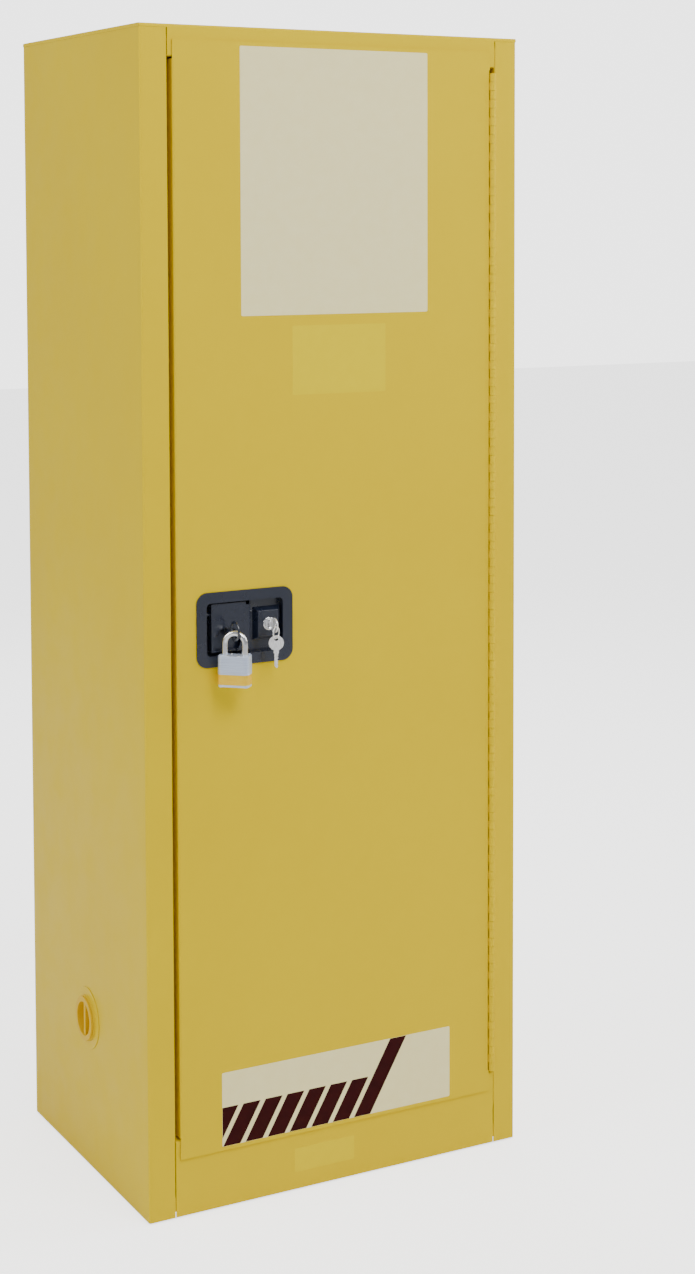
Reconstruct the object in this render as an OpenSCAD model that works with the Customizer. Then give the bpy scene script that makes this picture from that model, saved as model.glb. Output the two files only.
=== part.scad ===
// Single-door slimline safety cabinet for flammable liquids.
// Double-walled steel, piano-hinged door, recessed paddle handle that works a
// three-point latch, vents with bungs, spill sump and three lift-out shelves.
// Millimetres. +Z up, the door faces -Y, the origin is on the floor under the
// middle of the body.

/* [Cabinet] */
// Height of the body, floor to top
cab_h = 1651; // [1450:1:1900]
// Width of the body
cab_w = 591; // [500:1:720]
// Depth of the body, without the door
cab_d = 457; // [380:1:560]
// Thickness of the steel sheet
sheet = 1.2; // [0.9:0.1:1.5]
// Middle radius of every folded edge
bend_r = 2.2; // [1.5:0.1:3]
// Width of the post on the latch side
left_post_w = 40; // [34:0.5:55]
// Width of the post on the hinge side
right_post_w = 36.5; // [34:0.5:55]
// Thickness of the double wall at the back
back_wall = 40; // [32:1:55]
// Height of the sill under the opening
sill_h = 110.5; // [90:0.5:140]
// Height of the rail above the opening
rail_h = 43.5; // [38:0.5:60]
// Height of the lip around the top panel
lip_h = 5; // [4:0.5:8]
// Gap between the shell and the floor
skirt_z = 2; // [1:0.5:6]
// Depth of the returns around the opening
jamb_d = 38; // [36:0.5:50]
// Width of the flanges that join two sheets
seam_flange = 12; // [8:1:14]
// Depth of the spill sump below the sill
sump_depth = 51; // [30:1:60]

/* [Door] */
// Thickness of the door box behind its face
door_depth = 38; // [36:0.5:48]
// Gap between the door and the latch-side post
latch_gap = 6.7; // [5:0.1:9]
// Gap between the door and the hinge-side post
hinge_gap = 9; // [7:0.1:12]
// How far the door face laps over the rail
top_lap = 23.5; // [18:0.5:28]
// How far the door face laps over the sill
bottom_lap = 27; // [20:0.5:32]
// Gap between the door face sheet and the frame
face_gap = 1; // [0.4:0.1:1.5]
// Gap between the door box and the opening above and below
box_gap = 2.8; // [2:0.1:4]
// Length of one hinge knuckle
knuckle = 12.7; // [10:0.1:20]
// Radius of the hinge pin
pin_r = 1.6; // [1.2:0.1:2]

/* [Handle] */
// Middle of the handle pan, from the body's left side
handle_x = 148.8; // [146:0.1:160]
// Middle of the handle pan, above the floor
handle_z = 823; // [780:1:900]
// Width of the recess in the handle pan
pan_w = 116; // [114:0.5:120]
// Height of the recess in the handle pan
pan_h = 74; // [72:0.5:80]
// Depth of the handle pan behind the door face
pan_depth = 24; // [23:0.5:25]
// Width of the flange around the recess
bezel_rim = 15.2; // [12:0.1:18]
// Thickness of the flange around the recess
bezel_t = 1.6; // [1.2:0.1:3]
// Swing of the paddle at full pull
paddle_swing = 40; // [30:1:42]
// Distance of the latch pins from the middle of the cam
cam_pin_r = 22; // [20:0.5:23]
// Radius of the latch rods
rod_r = 4; // [3:0.1:4.4]
// How far a latch bolt stands out of the door box
bolt_throw = 12; // [8:0.5:14]

/* [Padlock] */
// Width of the padlock body
lock_w = 45; // [40:1:50]
// Thickness of the padlock body
lock_d = 24; // [20:1:26]
// Height of the padlock body
lock_h = 43; // [36:1:50]
// Radius of the shackle bar
shackle_r = 4.2; // [3.6:0.1:4.6]
// Radius of the middle of the shackle's arch
arch_r = 14.5; // [13:0.5:16]
// Clear height inside the shackle
shackle_gap = 26; // [22:1:32]
// Turn of the hanging padlock away from the door face
lock_yaw = 42; // [30:1:45]

/* [Labels] */
// Width of the big sign on the door
sign_w = 294.5; // [200:0.5:340]
// Height of the big sign on the door
sign_h = 370; // [250:0.5:390]
// Middle of the big sign, below the top of the body
sign_drop = 211; // [205:0.5:300]
// Width of the data label
data_w = 147.5; // [90:0.5:200]
// Height of the data label
data_h = 97; // [60:0.5:120]
// Width of the striped label
stripe_w = 368; // [250:0.5:420]
// Height of the striped label
stripe_h = 106; // [80:0.5:110]

/* [Inside] */
// Heights of the three shelves above the floor
shelf_heights = [475, 850, 1225]; // [200:1:1500]
// Height of the folded edge of a shelf
shelf_edge = 25; // [15:1:35]
// Clearance between a shelf and the liners
shelf_gap = 6; // [5:0.5:12]
// Distance between the slots of a shelf standard
slot_pitch = 63.5; // [50:0.5:90]

/* [Vents and feet] */
// Height of the low vent; the high vent is as far below the top
vent_z = 222; // [180:1:300]
// Bore radius of a vent socket
vent_r = 30.2; // [26:0.1:34]
// Radius of the ring pressed around a vent
vent_ring_r = 45; // [42:0.5:55]
// How far a vent socket stands out of the side
vent_out = 4; // [3:0.5:8]
// Radius of a levelling foot
foot_r = 18; // [12:1:22]
// Radius of the thread of the earthing stud
stud_r = 3.2; // [2.5:0.1:5]

/* [Hidden] */
$fn = 64;
seam = 0.2;
running = 0.05;
loose = 0.3;
label_t = 0.25;
label_x = 293.5;
half_t = sheet / 2;
tiny = 0.01;

left = -cab_w / 2;
right = cab_w / 2;
front = -cab_d / 2;
back = cab_d / 2;
open_l = left + left_post_w;
open_r = right - right_post_w;
open_b = sill_h;
open_t = cab_h - rail_h;
jamb_y = front + jamb_d;
inner_back = back - back_wall;
sump_floor = open_b - sump_depth;
base_z = 30;

face_y = front - face_gap - sheet;
door_l = open_l + latch_gap;
door_r = open_r - hinge_gap;
door_b = open_b - bottom_lap;
door_t = open_t + top_lap;
box_b = open_b + box_gap;
box_t = open_t - box_gap;
box_back = face_y + door_depth;

barrel_r = hinge_gap / 2 - loose;
pin_x = door_r + hinge_gap / 2;
pin_y = face_y - 0.5;
leaf_t = 1.4;
leaf_w = 26;
hinge_b = box_b + 0.5;
knuckles = 2 * floor((box_t - box_b - 1) / knuckle / 2) + 1;
hinge_h = knuckles * knuckle;

pan_x = left + handle_x;
pan_l = pan_x - pan_w / 2;
pan_r = pan_x + pan_w / 2;
pan_b = handle_z - pan_h / 2;
pan_t = handle_z + pan_h / 2;
pan_back = face_y + pan_depth;
pan_wall = 1.2;
pan_corner = 6;
bezel_corner = 16;

paddle_l = pan_l + 8;
paddle_w = 59.5;
paddle_r = paddle_l + paddle_w;
paddle_b = pan_b + 4.5;
paddle_t = pan_t - 2;
paddle_y = face_y + 1;
paddle_d = 11;
paddle_wall = 2;
pivot_r = 2;
pivot_y = paddle_y + 7;
pivot_z = paddle_t - 15;
ear_t = 3;

cam_x = paddle_l + 42;
cam_z = pivot_z - 5;
cam_t = 2.5;
cam_y = pan_back + 0.8;
cam_r = 29;
cam_bore = 4;
half_swing = paddle_swing / 2;
drive_r = 15;
cam_pin = 3;
tab_t = 2;
tab_y = cam_y + cam_t + 0.5;
rod_y = tab_y + rod_r;
rod_dx = cam_pin_r;
pin_rise = cam_pin_r * sin(half_swing);
pin_run = cam_pin_r * cos(half_swing);
bolt_z = cam_z - cam_pin_r;
bolt_h = 12;
bolt_t = 3;

boss_l = paddle_r + 6.5;
boss_r = pan_r - 0.7;
boss_b = pan_b + 16;
boss_t = pan_t - 12;
boss_y = face_y + 0.5;
boss_base_y = face_y + 10;
step_l = paddle_r + 2.5;
plug_x = (boss_l + boss_r) / 2;
plug_z = (boss_b + boss_t) / 2 - 0.5;
plug_r = 7;
ring_r = 9.2;
plug_y = boss_y - 3;

eye_x = paddle_l + 24;
eye_t = 2.5;
eye_hole = shackle_r + 6;
eye_r = eye_hole + 4;
plan_corner = 7;
corner_reach = (lock_w / 2 - plan_corner) * sin(lock_yaw)
    + (lock_d / 2 - plan_corner) * cos(lock_yaw) + plan_corner;
eye_y = face_y - bezel_t - 0.5 - corner_reach;
bar_z = handle_z - 3;
eye_z = bar_z + 3;
lock_top = bar_z - shackle_r - shackle_gap;
arch_z = bar_z - arch_r;
heel_depth = 24;
toe_depth = 8;
layers = 12;
bumper_h = 14;
base_plate_h = 3;

key_y = plug_y - 16;
key_hole = 2.8;
key_bow = 10.5;
key_t = 2;
link_r = 8;
link_wire = 0.9;
link_play = 0.8;
link_yaw = 35;
spare_yaw = 20;
blade_l = 22;
hole_rim = 2.2;
ring_hole_y = key_y - key_bow + key_hole + hole_rim;
hang = key_hole - link_wire - link_play;
link_z = plug_z - hang - link_r;
spare_z = link_z - link_r - hang;

vent_tube = 2.8;
vent_positions = [[left, 0, vent_z, -1], [right, 0, cab_h - vent_z, 1]];
standard_w = 20;
standard_d = 3;
standard_y = [jamb_y + 45, inner_back - 45];
shelf_front = box_back + 12;
bracket_t = 3;
foot_x = cab_w / 2 - 50;
foot_y = cab_d / 2 - 50;
foot_bore = 5.3;
stud_y = back - 90;
stud_z = sump_floor + 20;
shank_r = stud_r + 0.3;
shank_l = 9.5;

// Box between two opposite corners
module block(low, high) {
    translate(low) cube(high - low);
}

// Round bar along X, Y or Z from one place to another
module bar_x(x0, x1, y, z, r) {
    translate([x0, y, z]) rotate([0, 90, 0]) cylinder(h = x1 - x0, r = r);
}
module bar_y(y0, y1, x, z, r) {
    translate([x, y0, z]) rotate([-90, 0, 0]) cylinder(h = y1 - y0, r = r);
}
module bar_z(z0, z1, x, y, r) {
    translate([x, y, z0]) cylinder(h = z1 - z0, r = r);
}

// Rectangle with round corners, centred
module round_rect(w, h, r) {
    square([w - 2 * r, h], center = true);
    square([w, h - 2 * r], center = true);
    for (sx = [-1, 1], sy = [-1, 1])
        translate([sx * (w / 2 - r), sy * (h / 2 - r)]) circle(r);
}

// Plate with round corners that faces -Y
module face_plate(x, z, y0, y1, w, h, r) {
    translate([x, y1, z]) rotate([90, 0, 0]) linear_extrude(y1 - y0) round_rect(w, h, r);
}

function unit(v) = v / norm(v);

// Straight run of a sheet folded along a path of right angles
module fold_run(path, i) {
    last = len(path) - 2;
    d = unit(path[i + 1] - path[i]);
    a = path[i] + (i > 0 ? bend_r : 0) * d;
    b = path[i + 1] - (i < last ? bend_r : 0) * d;
    n = [-d[1], d[0]] * half_t;
    polygon([a + n, b + n, b - n, a - n]);
}

// Bend of the sheet at one point of its path
module fold_bend(path, i) {
    d0 = unit(path[i] - path[i - 1]);
    d1 = unit(path[i + 1] - path[i]);
    c = path[i] - bend_r * d0 + bend_r * d1;
    reach = bend_r + sheet;
    intersection() {
        translate(c) difference() {
            circle(bend_r + half_t);
            circle(bend_r - half_t);
        }
        polygon([c, c + reach * d0, c + reach * (d0 - d1), c - reach * d1]);
    }
}

// Folded section seen from above, raised between two heights
module folded_up(path, z0, z1) {
    translate([0, 0, z0]) folded(path, z1 - z0);
}

// Folded section in Y and Z, run between two places in X
module folded_across(path, x0, x1) {
    translate([x0, 0, 0]) rotate([90, 0, 90]) folded(path, x1 - x0);
}
module folded(path, run) {
    for (i = [0 : len(path) - 2])
        linear_extrude(run) fold_run(path, i);
    for (i = [1 : len(path) - 2])
        linear_extrude(run) fold_bend(path, i);
}

// ---- Outer shell ----

// Side panel with its post and jamb; side is -1 on the left and 1 on the right
module side_panel(edge, jamb, side, hole_z) {
    x = edge - side * half_t;
    j = jamb + side * half_t;
    difference() {
        union() {
            folded_up([[x - side * 16, back - half_t], [x, back - half_t], [x, front + half_t],
                [j + side * half_t, front + half_t]], skirt_z, cab_h - lip_h - seam);
            folded_up([[j + side * 4, front + half_t], [j, front + half_t],
                [j, jamb_y + half_t], [j + side * seam_flange, jamb_y + half_t]],
                sump_floor, cab_h - lip_h - 10);
        }
        bar_x(edge - 8, edge + 8, 0, hole_z, vent_r + vent_tube + loose);
        if (side > 0)
            bar_x(edge - 8, edge + 8, stud_y, stud_z, shank_r + loose);
    }
}
module left_side_panel() {
    color("gold") side_panel(left, open_l, -1, vent_z);
}
module right_side_panel() {
    color("gold") side_panel(right, open_r, 1, cab_h - vent_z);
}

module top_panel() {
    color("gold") difference() {
        union() {
            intersection() {
                folded_across([[jamb_y + half_t, open_t + seam_flange],
                    [jamb_y + half_t, open_t + half_t], [front + half_t, open_t + half_t],
                    [front + half_t, cab_h - half_t], [back - half_t, cab_h - half_t],
                    [back - half_t, cab_h - lip_h]], left, right);
                union() {
                    block([left, front, cab_h - lip_h], [right, back, cab_h]);
                    block([open_l + seam, front, open_t], [open_r - seam, back, cab_h]);
                }
            }
            for (x = [left, right - sheet])
                block([x, front + bend_r, cab_h - lip_h], [x + sheet, back - bend_r, cab_h - tiny]);
        }
        strike_notch(cam_x - rod_dx, open_t - 1, open_t + top_lap - 4);
    }
}

// Slot in the frame that a rod bolt slides into, open towards the front
module strike_notch(x, z0, z1) {
    half = rod_r + 2;
    block([x - half, front - 1, z0], [x + half, rod_y + half, z1]);
}

module back_panel() {
    inset = sheet + bend_r;
    color("gold") block([left + inset, back - 2 * sheet, skirt_z],
        [right - inset, back - sheet, cab_h - inset]);
}

module base_pan() {
    y0 = front + sheet + seam;
    y1 = back - 2 * sheet - seam;
    inset = sheet + bend_r;
    color("gold") difference() {
        folded_across([[y0 + half_t, base_z - 20], [y0 + half_t, base_z + half_t],
            [y1 - half_t, base_z + half_t], [y1 - half_t, base_z - 20]],
            left + inset, right - inset);
        for (x = [-foot_x, foot_x], y = [-foot_y, foot_y])
            bar_z(base_z - 5, base_z + 5, x, y, foot_bore);
    }
}

module front_sill() {
    color("gold") difference() {
        folded_across([[front + half_t, skirt_z], [front + half_t, open_b - half_t],
            [jamb_y + half_t, open_b - half_t], [jamb_y + half_t, open_b - seam_flange]],
            open_l + seam, open_r - seam);
        strike_notch(cam_x + rod_dx, open_b - bottom_lap + 5, open_b + 1);
    }
}

// ---- Inner liners ----

module side_liner(jamb, side, hole_z) {
    x = jamb + side * half_t;
    yf = jamb_y + sheet + half_t;
    yb = inner_back - half_t;
    difference() {
        folded_up([[x + side * seam_flange, yf], [x, yf], [x, yb], [x + side * seam_flange, yb]],
            sump_floor - 10, open_t);
        bar_x(jamb - 8, jamb + 8, 0, hole_z, vent_r + vent_tube + loose);
    }
}
module left_liner() {
    color("khaki") side_liner(open_l, -1, vent_z);
}
module right_liner() {
    color("khaki") side_liner(open_r, 1, cab_h - vent_z);
}
module back_liner() {
    color("khaki") block([open_l - seam_flange, inner_back, sump_floor - 10],
        [open_r + seam_flange, inner_back + sheet, open_t + sheet]);
}
module top_liner() {
    color("khaki") block([open_l - seam_flange, jamb_y + sheet, open_t],
        [open_r + seam_flange, inner_back, open_t + sheet]);
}

// Leakproof tray in the bottom of the cabinet
module sump_pan() {
    x0 = open_l + seam;
    x1 = open_r - seam;
    y0 = jamb_y + sheet;
    y1 = inner_back - seam;
    color("khaki") difference() {
        block([x0, y0, sump_floor - sheet], [x1, y1, open_b - 3]);
        block([x0 + sheet, y0 + sheet, sump_floor], [x1 - sheet, y1 - sheet, open_b]);
    }
}

// ---- Shelves ----

// Slotted strips on the side liners
module shelf_standards() {
    z0 = open_b + 20;
    z1 = open_t - 20;
    slots = floor((z1 - z0 - 40) / slot_pitch);
    color("khaki") for (side = [-1, 1], y = standard_y) {
        wall = side < 0 ? open_l : open_r;
        difference() {
            block([min(wall, wall - side * standard_d), y - standard_w / 2, z0],
                [max(wall, wall - side * standard_d), y + standard_w / 2, z1]);
            for (i = [0 : slots])
                block([wall - 5, y - 3, z0 + 20 + i * slot_pitch],
                    [wall + 5, y + 3, z0 + 32 + i * slot_pitch]);
        }
    }
}

// Angle brackets that carry the shelves, one at each standard
module shelf_brackets() {
    color("silver") for (z = shelf_heights, side = [-1, 1], y = standard_y) {
        wall = side < 0 ? open_l + standard_d : open_r - standard_d;
        tip = wall - side * 20;
        top = z - shelf_edge;
        block([min(wall, tip), y - 8, top - bracket_t], [max(wall, tip), y + 8, top]);
        block([min(wall, wall - side * 2), y - 8, top - 25], [max(wall, wall - side * 2), y + 8, top]);
    }
}

// Tray shelf with a folded edge all round and a low front lip
module shelf(top) {
    x0 = open_l + shelf_gap;
    x1 = open_r - shelf_gap;
    y0 = shelf_front;
    y1 = inner_back - shelf_gap;
    color("silver") difference() {
        union() {
            block([x0, y0, top - shelf_edge], [x1, y1, top]);
            block([x0, y0, top - shelf_edge], [x1, y0 + 1.5, top + 6]);
        }
        block([x0 + sheet, y0 + sheet, top - shelf_edge - 1], [x1 - sheet, y1 - sheet, top - sheet]);
    }
}
module shelf_low() {
    shelf(shelf_heights[0]);
}
module shelf_middle() {
    shelf(shelf_heights[1]);
}
module shelf_high() {
    shelf(shelf_heights[2]);
}

// ---- Feet and earthing ----

module levelling_feet() {
    color("dimgray") for (x = [-foot_x, foot_x], y = [-foot_y, foot_y]) {
        bar_z(0, 6, x, y, foot_r);
        bar_z(6, 9, x, y, foot_r * 0.6);
        bar_z(9, sump_floor - sheet - 6, x, y, foot_bore - loose);
    }
}
module foot_nuts() {
    color("silver") for (x = [-foot_x, foot_x], y = [-foot_y, foot_y])
        difference() {
            translate([x, y, base_z + sheet]) cylinder(h = 6, r = 10, $fn = 6);
            bar_z(base_z, base_z + 12, x, y, foot_bore);
        }
}
module earthing_stud() {
    color("goldenrod") {
        bar_x(right - sheet - 3, right - sheet, stud_y, stud_z, stud_r * 2);
        bar_x(right - sheet - 1, right + shank_l, stud_y, stud_z, shank_r);
        bar_x(right + shank_l - 1, right + shank_l + 13, stud_y, stud_z, stud_r);
    }
}
module earthing_nuts() {
    color("silver") for (x = [right, right + 5])
        difference() {
            translate([x, stud_y, stud_z]) rotate([0, 90, 0]) cylinder(h = 4, r = stud_r * 2, $fn = 6);
            bar_x(x - 1, x + 6, stud_y, stud_z, shank_r + running);
        }
}

// ---- Vents ----

// Threaded socket through the double wall, with a ring around it
module vent_socket(v, liner) {
    s = v[3];
    x_out = v[0] + s * vent_out;
    x_in = liner - s * 2;
    difference() {
        union() {
            bar_x(min(x_out, x_in), max(x_out, x_in), v[1], v[2], vent_r + vent_tube);
            bar_x(min(v[0], v[0] + s * 1.2), max(v[0], v[0] + s * 1.2), v[1], v[2], vent_ring_r);
        }
        bar_x(min(x_out, x_in) - 1, max(x_out, x_in) + 1, v[1], v[2], vent_r);
    }
}
// Perforated disc that stops a flame inside the socket
module flame_screen(v) {
    x = v[0] - v[3] * 22;
    pitch = 7;
    difference() {
        bar_x(x - 1, x + 1, v[1], v[2], vent_r - running);
        for (i = [-3 : 3], j = [-3 : 3])
            if (norm([i, j]) < 3.7)
                bar_x(x - 2, x + 2, v[1] + i * pitch, v[2] + j * pitch, 2);
    }
}
// Plug with a recess and a grip bar across it
module bung(v) {
    s = v[3];
    x0 = v[0] + s * vent_out;
    rim = x0 + s * 3.5;
    plug = x0 - s * 14;
    bottom = x0 - s * 8;
    difference() {
        union() {
            bar_x(min(x0, rim), max(x0, rim), v[1], v[2], vent_r + vent_tube - 0.8);
            bar_x(min(plug, x0), max(plug, x0), v[1], v[2], vent_r - loose);
        }
        difference() {
            bar_x(min(bottom, rim + s), max(bottom, rim + s), v[1], v[2], vent_r - 6);
            block([min(bottom, rim - s * 2), v[1] - 3.5, v[2] - vent_r],
                [max(bottom, rim - s * 2), v[1] + 3.5, v[2] + vent_r]);
        }
    }
}
module left_vent_socket() {
    color("gold") vent_socket(vent_positions[0], open_l);
}
module right_vent_socket() {
    color("gold") vent_socket(vent_positions[1], open_r);
}
module left_flame_screen() {
    color("silver") flame_screen(vent_positions[0]);
}
module right_flame_screen() {
    color("silver") flame_screen(vent_positions[1]);
}
module left_bung() {
    color("darkgoldenrod") bung(vent_positions[0]);
}
module right_bung() {
    color("darkgoldenrod") bung(vent_positions[1]);
}

// ---- Piano hinge ----

// One leaf; first is 0 or 1, the knuckle that the leaf starts with
module hinge_leaf(x0, x1, first) {
    count = floor((knuckles - first + 1) / 2);
    plate_y = pin_y + barrel_r + loose;
    difference() {
        union() {
            block([x0, plate_y, hinge_b], [x1, plate_y + leaf_w, hinge_b + hinge_h]);
            for (i = [0 : count - 1]) {
                z0 = hinge_b + (2 * i + first) * knuckle + seam;
                z1 = z0 + knuckle - 2 * seam;
                bar_z(z0, z1, pin_x, pin_y, barrel_r);
                block([max(x0, pin_x - barrel_r - loose), pin_y, z0],
                    [min(x1, pin_x + barrel_r + loose), plate_y + 1, z1]);
            }
        }
        bar_z(hinge_b - 1, hinge_b + hinge_h + 1, pin_x, pin_y, pin_r + running);
    }
}
module hinge_frame_leaf() {
    color("khaki") hinge_leaf(open_r - leaf_t, open_r, 0);
}
module hinge_door_leaf() {
    color("khaki") hinge_leaf(door_r, door_r + leaf_t, 1);
}
module hinge_pin() {
    color("silver") bar_z(hinge_b, hinge_b + hinge_h, pin_x, pin_y, pin_r);
}

// Keeper plates on the frame beside the three bolts
module strike_plates() {
    t = 1.5;
    half = rod_r + 2;
    color("silver") {
        for (side = [-1, 1]) {
            x = cam_x + side * rod_dx;
            z = side < 0 ? open_t + sheet : open_b - sheet - t;
            difference() {
                block([x - 20, front + sheet + bend_r, z], [x + 20, jamb_y - bend_r, z + t]);
                block([x - half, front, z - 1], [x + half, rod_y + half, z + t + 1]);
            }
        }
        block([open_l - sheet - t, jamb_y - 26, bolt_z - 20],
            [open_l - sheet, jamb_y - bend_r, bolt_z + 20]);
    }
}

// ---- Door ----

module door_outer_panel() {
    x0 = door_l + half_t;
    x1 = door_r - half_t;
    y = face_y + half_t;
    color("gold") difference() {
        union() {
            folded_up([[x0, box_back], [x0, y], [x1, y], [x1, box_back]], box_b, box_t);
            block([door_l, face_y, door_b], [door_r, face_y + sheet, box_b + 1]);
            block([door_l, face_y, box_t - 1], [door_r, face_y + sheet, door_t]);
            for (z = [box_b, box_t - sheet])
                block([door_l + half_t, face_y + half_t, z], [door_r - half_t, box_back, z + sheet]);
        }
        block([pan_l - pan_wall - loose, face_y - 1, pan_b - pan_wall - loose],
            [pan_r + pan_wall + loose, face_y + 3, pan_t + pan_wall + loose]);
        bar_z(box_t - 5, box_t + 5, cam_x - rod_dx, rod_y, rod_r + 1);
        bar_z(box_b - 5, box_b + 5, cam_x + rod_dx, rod_y, rod_r + 1);
        block([door_l - 2, tab_y - 1, bolt_z - bolt_h / 2 - 1],
            [door_l + 5, tab_y + 5, bolt_z + bolt_h / 2 + 1]);
    }
}
module door_inner_panel() {
    x0 = door_l + sheet + half_t;
    x1 = door_r - sheet - half_t;
    y = box_back - half_t;
    bolt_cut = tab_y + 6;
    color("khaki") difference() {
        folded_up([[x0, bolt_cut], [x0, y], [x1, y], [x1, bolt_cut]], box_b + sheet, box_t - sheet);
        block([door_l, tab_y - 2, bolt_z - bolt_h / 2 - 1],
            [door_l + 6, tab_y + 5, bolt_z + bolt_h / 2 + 1]);
    }
}

// Guides that keep the two latch rods straight
module rod_guides() {
    y1 = box_back - sheet;
    gap = 150;
    color("silver") {
        for (z = [box_t - 40, (cam_z + box_t) / 2, cam_z + gap])
            rod_guide(cam_x - rod_dx, y1, z);
        for (z = [box_b + 30, (cam_z + box_b) / 2, cam_z - gap])
            rod_guide(cam_x + rod_dx, y1, z);
        bolt_guide(y1);
    }
}
module rod_guide(x, y1, z) {
    difference() {
        block([x - 11, rod_y - rod_r - 3, z], [x + 11, y1, z + 8]);
        bar_z(z - 1, z + 9, x, rod_y, rod_r + loose);
    }
}
module bolt_guide(y1) {
    half = bolt_h / 2;
    x = door_l + 14;
    difference() {
        block([x, tab_y - 2, bolt_z - half - 4], [x + 10, y1, bolt_z + half + 4]);
        block([x - 1, tab_y - loose, bolt_z - half - loose],
            [x + 11, tab_y + bolt_t + loose, bolt_z + half + loose]);
    }
}

// ---- Handle ----

module handle_pan() {
    rim_w = pan_w + 2 * bezel_rim;
    rim_h = pan_h + 2 * bezel_rim;
    color("darkslategray") difference() {
        union() {
            face_plate(pan_x, handle_z, face_y - bezel_t, face_y, rim_w, rim_h, bezel_corner);
            block([pan_l - pan_wall, face_y - 0.5, pan_b - pan_wall],
                [pan_r + pan_wall, pan_back, pan_t + pan_wall]);
        }
        face_plate(pan_x, handle_z, face_y - bezel_t - 1, face_y, pan_w, pan_h, pan_corner);
        block([pan_l, face_y - 0.5, pan_b], [step_l, pan_back - pan_wall, pan_t]);
        block([step_l - 1, face_y - 0.5, pan_b], [pan_r, boss_base_y, pan_t]);
        block([step_l + pan_wall, boss_base_y + pan_wall, pan_b - 5],
            [pan_r + 5, pan_back + 1, pan_t + 5]);
        bar_x(pan_l - 5, pan_l + 1, pivot_y, pivot_z, pivot_r + running);
        bar_x(step_l - 1, step_l + 5, pivot_y, pivot_z, pivot_r + running);
        bar_y(pan_back - 5, pan_back + 1, cam_x, cam_z, cam_bore - 1 + running);
        bar_y(boss_base_y - 1, boss_base_y + 5, plug_x, plug_z, plug_r + 1);
        for (z = [pan_b + 8, pan_t - 8])
            bar_x(pan_l - 5, pan_l + 1, pan_back - 6, z, 2 + running);
        block([cam_x - drive_r - 5, pan_back - 5, pivot_z - 20],
            [cam_x - drive_r + 5, pan_back + 1, pivot_z + 8]);
    }
}

// Square boss around the key lock, with sloping sides
module lock_boss() {
    w = boss_r - boss_l;
    h = boss_t - boss_b;
    slope = 5;
    d = boss_base_y - boss_y;
    x = (boss_l + boss_r) / 2;
    z = (boss_b + boss_t) / 2;
    color("darkslategray") difference() {
        intersection() {
            translate([x, boss_base_y, boss_b]) linear_extrude(h)
                polygon([[-w / 2, 0], [w / 2, 0], [w / 2 - slope, -d], [slope - w / 2, -d]]);
            translate([boss_l, boss_base_y, z]) rotate([90, 0, 90]) linear_extrude(w)
                polygon([[0, -h / 2], [0, h / 2], [-d, h / 2 - slope], [-d, slope - h / 2]]);
        }
        bar_y(boss_y - 1, boss_base_y + 1, plug_x, plug_z, plug_r + running);
    }
}
module pivot_pin() {
    color("silver") bar_x(pan_l - pan_wall - 1, step_l + pan_wall + 1, pivot_y, pivot_z, pivot_r);
}
// Torsion spring around the pivot pin, with one leg on the pan
module paddle_spring() {
    x0 = paddle_l + 34;
    wire = 0.7;
    coil = pivot_r + 1.2;
    ridges = [for (i = [0 : 16]) [coil + (i % 2 == 0 ? 0.2 : wire), i * wire]];
    color("silver") {
        translate([x0, pivot_y, pivot_z]) rotate([0, 90, 0]) rotate_extrude()
            polygon(concat(ridges, [[coil - wire, 16 * wire], [coil - wire, 0]]));
        block([x0, pivot_y, pivot_z + coil - wire], [x0 + 2 * wire, pan_back - pan_wall, pivot_z + coil]);
    }
}
module pan_rivets() {
    color("silver") for (z = [pan_b + 8, pan_t - 8])
        bar_x(pan_l - pan_wall - 1, pan_l + 1.5, pan_back - 6, z, 2);
}
module cam_stud() {
    color("silver") {
        bar_y(pan_back - pan_wall - 1.5, pan_back - pan_wall, cam_x, cam_z, cam_bore + 2);
        bar_y(pan_back - pan_wall - 1, pan_back, cam_x, cam_z, cam_bore - 1);
        bar_y(pan_back, cam_y, cam_x, cam_z, cam_bore + 2);
        bar_y(pan_back, cam_y + cam_t + 0.3, cam_x, cam_z, cam_bore);
        bar_y(cam_y + cam_t + 0.3, cam_y + cam_t + 1.8, cam_x, cam_z, cam_bore + 2);
    }
}

// ---- Paddle ----

module paddle() {
    arch = 20;
    arch_z0 = paddle_b + 14;
    notch_w = 7;
    bevel = 2.4;
    y1 = paddle_y + paddle_d;
    color("darkslategray") difference() {
        union() {
            difference() {
                block([paddle_l, paddle_y, paddle_b], [paddle_r, y1, paddle_t]);
                block([paddle_l + paddle_wall, paddle_y + paddle_wall, paddle_b + paddle_wall],
                    [paddle_r - paddle_wall, y1 + 1, paddle_t + 1]);
                bar_y(paddle_y - 1, paddle_y + 3, eye_x, arch_z0, arch);
                block([paddle_r - notch_w, paddle_y - 1, paddle_t - 4],
                    [paddle_r + 1, y1 + 1, paddle_t + 1]);
            }
            block([paddle_l, y1 - paddle_wall, paddle_b], [paddle_r, y1, arch_z0 + arch + 2]);
            crank();
        }
        translate([paddle_r, paddle_y, paddle_b - 1]) rotate([0, 0, 45])
            cube([bevel, bevel, 2 * pan_h], center = true);
        bar_x(paddle_l - 1, paddle_r + 1, pivot_y, pivot_z, pivot_r + running);
    }
}
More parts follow.
